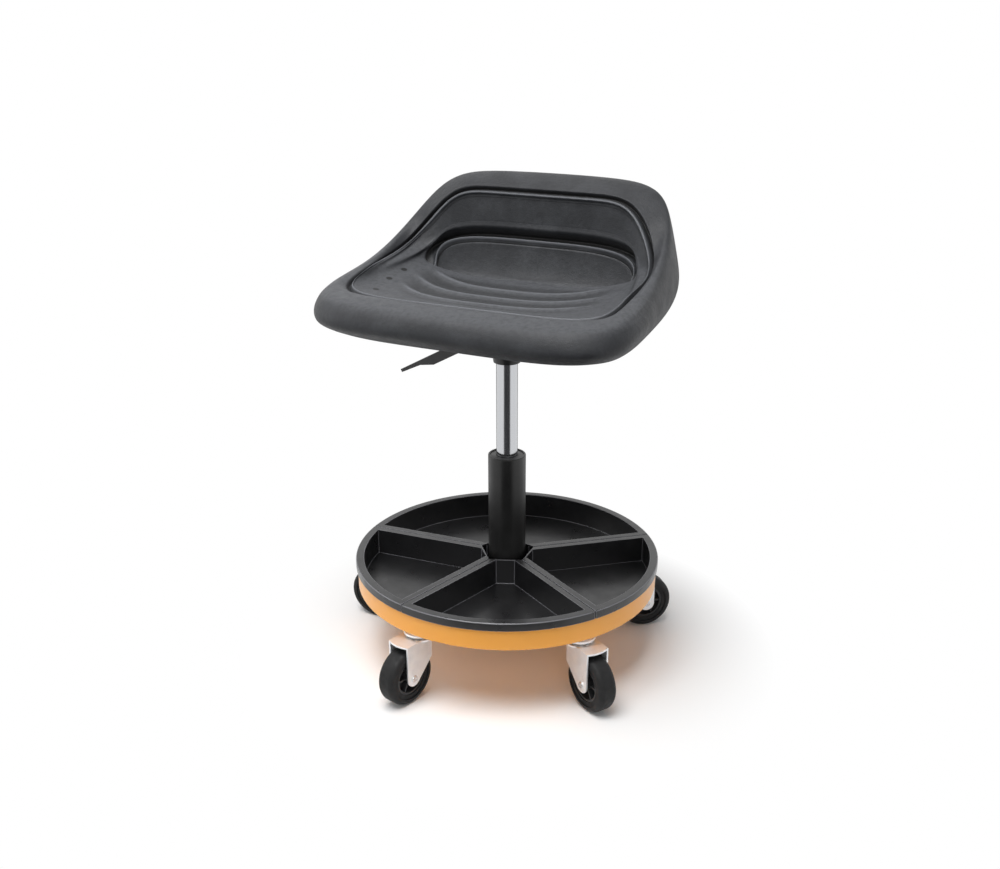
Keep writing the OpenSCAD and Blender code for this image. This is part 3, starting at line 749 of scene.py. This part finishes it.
class STOOL_OT_plastic(bpy.types.Operator):
    """Trays, bush, lever, wheels and tyres"""

    bl_idname = "stool.plastic"
    bl_label = "Plastic and rubber"

    def execute(self, context):
        p = context.scene.stool_paint
        tray = Finish("tray_plastic", tuple(p.tray), 0.42, Coat_Weight=0.2, Coat_Roughness=0.18)
        tray.tint(tray.span(tray.noise(30, 4), 0.4, 0.8, 0, 0.5), lighter(p.tray, 1.8))
        tray.shade(tray.noise(55, 3), 0.26, 0.4)
        dress(tray.mat, *five("tray"))
        # the trays' second material, a painted highlight, which the bevel gives to their rounded edges
        pale_and_lit = Finish("tray_edge_highlight", lighter(p.tray, EDGE_HIGHLIGHT), 0.34)
        pale_and_lit.shade(pale_and_lit.noise(55, 3), 0.26, 0.4)
        for name in five("tray"):
            NODES[name].data.materials.append(pale_and_lit.mat)

        moulded = Finish("black_plastic", PLASTIC, 0.4)
        moulded.shade(moulded.noise(80, 3), 0.32, 0.5)
        moulded.relief(moulded.cells(1500), 0.00006, 0.3)
        dress(moulded.mat, "column_bush", "release_lever", *five("wheel_core"))

        rubber = Finish("black_rubber", RUBBER, 0.7)
        rubber.relief(rubber.noise(900, 2), 0.0001, 0.3)
        dress(rubber.mat, "piston_seal", "bump_buffer")

        tyre = Finish("tyre_rubber", tuple(p.tyre), 0.6, IOR=1.36)
        tyre.tint(tyre.span(tyre.noise(70, 4), 0.45, 0.8, 0, 0.5), lighter(p.tyre, 1.8))
        tyre.shade(tyre.noise(120, 3), 0.5, 0.7)
        tyre.relief(tyre.noise(1400, 3), 0.00012, 0.35)
        dress(tyre.mat, *five("tyre"))
        return {"FINISHED"}


class STOOL_OT_board(bpy.types.Operator):
    """Plywood under the cushion"""

    bl_idname = "stool.board"
    bl_label = "Board"

    def execute(self, context):
        ply = Finish("plywood", PLY, 0.62)
        grain = ply.noise(90, 6, ply.stretched(1, 14, 40))
        ply.tint(ply.span(grain, 0.4, 0.65, 0, 0.7), PLY_GRAIN)
        ply.relief(grain, 0.0002, 0.3)
        dress(ply.mat, "seat_board")
        return {"FINISHED"}


# ---------------------------------------------------------------- edges

EDGE_WIDTHS = {
    "base_pan": 0.0005,
    "hub_socket": 0.0008,
    "lever_housing": 0.0009,
    "seat_plate": 0.0007,
    "release_lever": 0.0016,
    "taper_socket": 0.0006,
    "gas_cylinder": 0.0003,
    "column_tube": 0.0008,
    **{name: 0.0008 for name in five("tray")},
    **{name: 0.0007 for name in five("fork")},
}
EDGE_STEPS = 3
SHARP = math.radians(40)
SAME_POINT = 1e-6  # corners of a node's triangles that are this close are one


class STOOL_OT_edges(bpy.types.Operator):
    """Break the sharp edges of the hard parts"""

    bl_idname = "stool.edges"
    bl_label = "Edges"

    def execute(self, context):
        for name, width in EDGE_WIDTHS.items():
            obj = NODES[name]
            weld = obj.modifiers.new("merge", "WELD")
            weld.merge_threshold = SAME_POINT
            bevel = obj.modifiers.new("edge", "BEVEL")
            bevel.width = width
            bevel.segments = EDGE_STEPS
            bevel.limit_method = "ANGLE"
            bevel.angle_limit = SHARP
            # the bevel gives the trays' rounded edges their second material, a painted highlight
            if len(obj.data.materials) > 1:
                bevel.material = 1
                bevel.use_clamp_overlap = False
            obj.modifiers.new("faces", "WEIGHTED_NORMAL")
        return {"FINISHED"}


# ---------------------------------------------------------------- studio

FLOOR_SIZE = 12
PAPER = (0.93, 0.93, 0.93)
WHITE = (1, 1, 1, 1)
# the two dark ends of the studio, towards the camera and away from it
END_COLOUR = (0.03, 0.03, 0.032)
END_COSINES = (0.74, 0.88)  # of the angles off the camera's line at which an end begins and is full
END_DISTANCES = (0.38, 0.46)  # from the swivel axis, likewise
SKY_HEIGHTS = (0.12, 0.6)  # sines of the angles over the horizon between which the sky dims
# name, place, aim, size in metres, power in watts
LAMPS = (
    ("key", (-0.1, -1.0, 2.95), (0, 0, 0.4), 1.8, 85),
    ("fill", (1.6, -2.2, 1.3), (0, 0, 0.3), 1.4, 8),
    ("side", (-2.2, -1.0, 1.5), (0, 0, 0.3), 1.4, 10),
)


def facing_along(direction):
    """Turn that points a lamp or camera along a direction."""
    return direction.to_track_quat("-Z", "Y").to_euler()


def plainly_seen(tree, path):
    """One for camera rays and for rays mirrored or let through on their way to the camera."""
    total = path.outputs["Is Camera Ray"]
    for name in ("Is Glossy Ray", "Is Transmission Ray"):
        n = tree.nodes.new("ShaderNodeMath")
        n.use_clamp = True
        tree.links.new(total, n.inputs[0])
        tree.links.new(path.outputs[name], n.inputs[1])
        total = n.outputs["Value"]
    return total


def studio_paper(s):
    """Pale paper with a plain white sweep round the stool, and dark ends that the camera doesn't see."""
    paper = Finish("studio_paper", PAPER, 0.9, Specular_IOR_Level=0.1)
    # only reflections and bounced light meet the dark ends
    heading = paper.node("VectorMath", operation="NORMALIZE")
    paper.link(paper.place, heading.inputs[0])
    along = paper.node("VectorMath", operation="DOT_PRODUCT")
    paper.link(heading.outputs["Vector"], along.inputs[0])
    along.inputs[1].default_value = (math.sin(s.azimuth), -math.cos(s.azimuth), 0)
    either_way = paper.node("Math", operation="ABSOLUTE")
    paper.link(along.outputs["Value"], either_way.inputs[0])
    in_end = paper.span(either_way.outputs["Value"], *END_COSINES)
    dark = paper.times(in_end, paper.span(paper.distance(), *END_DISTANCES))
    path = paper.node("LightPath")
    unseen = paper.times(dark, paper.span(path.outputs["Is Camera Ray"], 1, 0))
    paper.tint(unseen, END_COLOUR)
    # the white sweep
    far = paper.span(paper.distance(), s.white_from, s.white_to)
    far = paper.times(far, plainly_seen(paper.tree, path))
    far = paper.times(far, paper.span(unseen, 1, 0))
    glow = paper.node("Emission")
    mix = paper.node("MixShader")
    paper.link(far, mix.inputs["Fac"])
    paper.link(paper.shader.outputs["BSDF"], mix.inputs[1])
    paper.link(glow.outputs["Emission"], mix.inputs[2])
    paper.link(mix.outputs["Shader"], paper.tree.nodes["Material Output"].inputs["Surface"])
    return paper.mat


def light_sky(world, s):
    """Sky that lights the stool more from the horizon than from overhead, and looks plain white."""
    world.use_nodes = True
    nodes, links = world.node_tree.nodes, world.node_tree.links
    way = nodes.new("ShaderNodeSeparateXYZ")
    links.new(nodes.new("ShaderNodeTexCoord").outputs["Generated"], way.inputs[0])
    dome = nodes.new("ShaderNodeMapRange")
    links.new(way.outputs["Z"], dome.inputs["Value"])
    low, high = SKY_HEIGHTS
    for key, v in (("From Min", low), ("From Max", high), ("To Min", s.daylight), ("To Max", s.zenith)):
        dome.inputs[key].default_value = v
    light, white = nodes["Background"], nodes.new("ShaderNodeBackground")
    for sky in (light, white):
        sky.inputs["Color"].default_value = WHITE
    links.new(dome.outputs["Result"], light.inputs["Strength"])
    mix = nodes.new("ShaderNodeMixShader")
    links.new(plainly_seen(world.node_tree, nodes.new("ShaderNodeLightPath")), mix.inputs["Fac"])
    links.new(light.outputs["Background"], mix.inputs[1])
    links.new(white.outputs["Background"], mix.inputs[2])
    links.new(mix.outputs["Shader"], nodes["World Output"].inputs["Surface"])


def hang_lamps():
    """Area lamps over the stool and in front of it."""
    for name, place, aim, size, power in LAMPS:
        bpy.ops.object.light_add(type="AREA", location=place)
        lamp = bpy.context.object
        lamp.name = name
        lamp.data.size = size
        lamp.data.energy = power
        lamp.rotation_euler = facing_along(Vector(aim) - Vector(place))


def set_camera(scene, s):
    """Camera at its distance and height angle, looking at the swivel axis."""
    level = math.cos(s.elevation)
    back = Vector((math.sin(s.azimuth) * level, -math.cos(s.azimuth) * level, math.sin(s.elevation)))
    bpy.ops.object.camera_add(location=Vector((0, 0, s.aim_height)) + back * s.distance)
    camera = bpy.context.object
    camera.rotation_euler = facing_along(-back)
    camera.data.lens = s.lens
    camera.data.shift_x = s.shift
    scene.camera = camera


class STOOL_OT_studio(bpy.types.Operator):
    """Pale floor, soft light and the camera"""

    bl_idname = "stool.studio"
    bl_label = "Studio"

    def execute(self, context):
        scene = context.scene
        s = scene.stool_studio
        deselect()
        bpy.ops.mesh.primitive_plane_add(size=FLOOR_SIZE)
        floor = named("studio_floor")
        floor.data.materials.append(studio_paper(s))
        scene.world = scene.world or bpy.data.worlds.new("studio")
        light_sky(scene.world, s)
        hang_lamps()
        set_camera(scene, s)
        scene.view_settings.view_transform = "Standard"
        return {"FINISHED"}


# ---------------------------------------------------------------- add-on

OPERATORS = (
    STOOL_OT_cushion,
    STOOL_OT_paint,
    STOOL_OT_metal,
    STOOL_OT_plastic,
    STOOL_OT_board,
    STOOL_OT_edges,
    STOOL_OT_studio,
)


class STOOL_PT_panel(bpy.types.Panel):
    """Steps of the stool, in order"""

    bl_label = "Workshop Stool"
    bl_space_type = "VIEW_3D"
    bl_region_type = "UI"
    bl_category = "Stool"

    def draw(self, context):
        for op in OPERATORS:
            self.layout.operator(op.bl_idname)
        for key, group in GROUPS.items():
            box = self.layout.box()
            for prop in group.__annotations__:
                box.prop(getattr(context.scene, key), prop)


CLASSES = (*GROUPS.values(), *OPERATORS, STOOL_PT_panel)


def register():
    for cls in CLASSES:
        bpy.utils.register_class(cls)
    for key, group in GROUPS.items():
        setattr(bpy.types.Scene, key, bpy.props.PointerProperty(type=group))


def unregister():
    for key in GROUPS:
        delattr(bpy.types.Scene, key)
    for cls in reversed(CLASSES):
        bpy.utils.unregister_class(cls)


def main():
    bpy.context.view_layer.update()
    register()
    deselect()
    bpy.ops.stool.cushion()
    bpy.ops.stool.paint()
    bpy.ops.stool.metal()
    bpy.ops.stool.plastic()
    bpy.ops.stool.board()
    bpy.ops.stool.edges()
    bpy.ops.stool.studio()


if __name__ == "__main__":
    main()
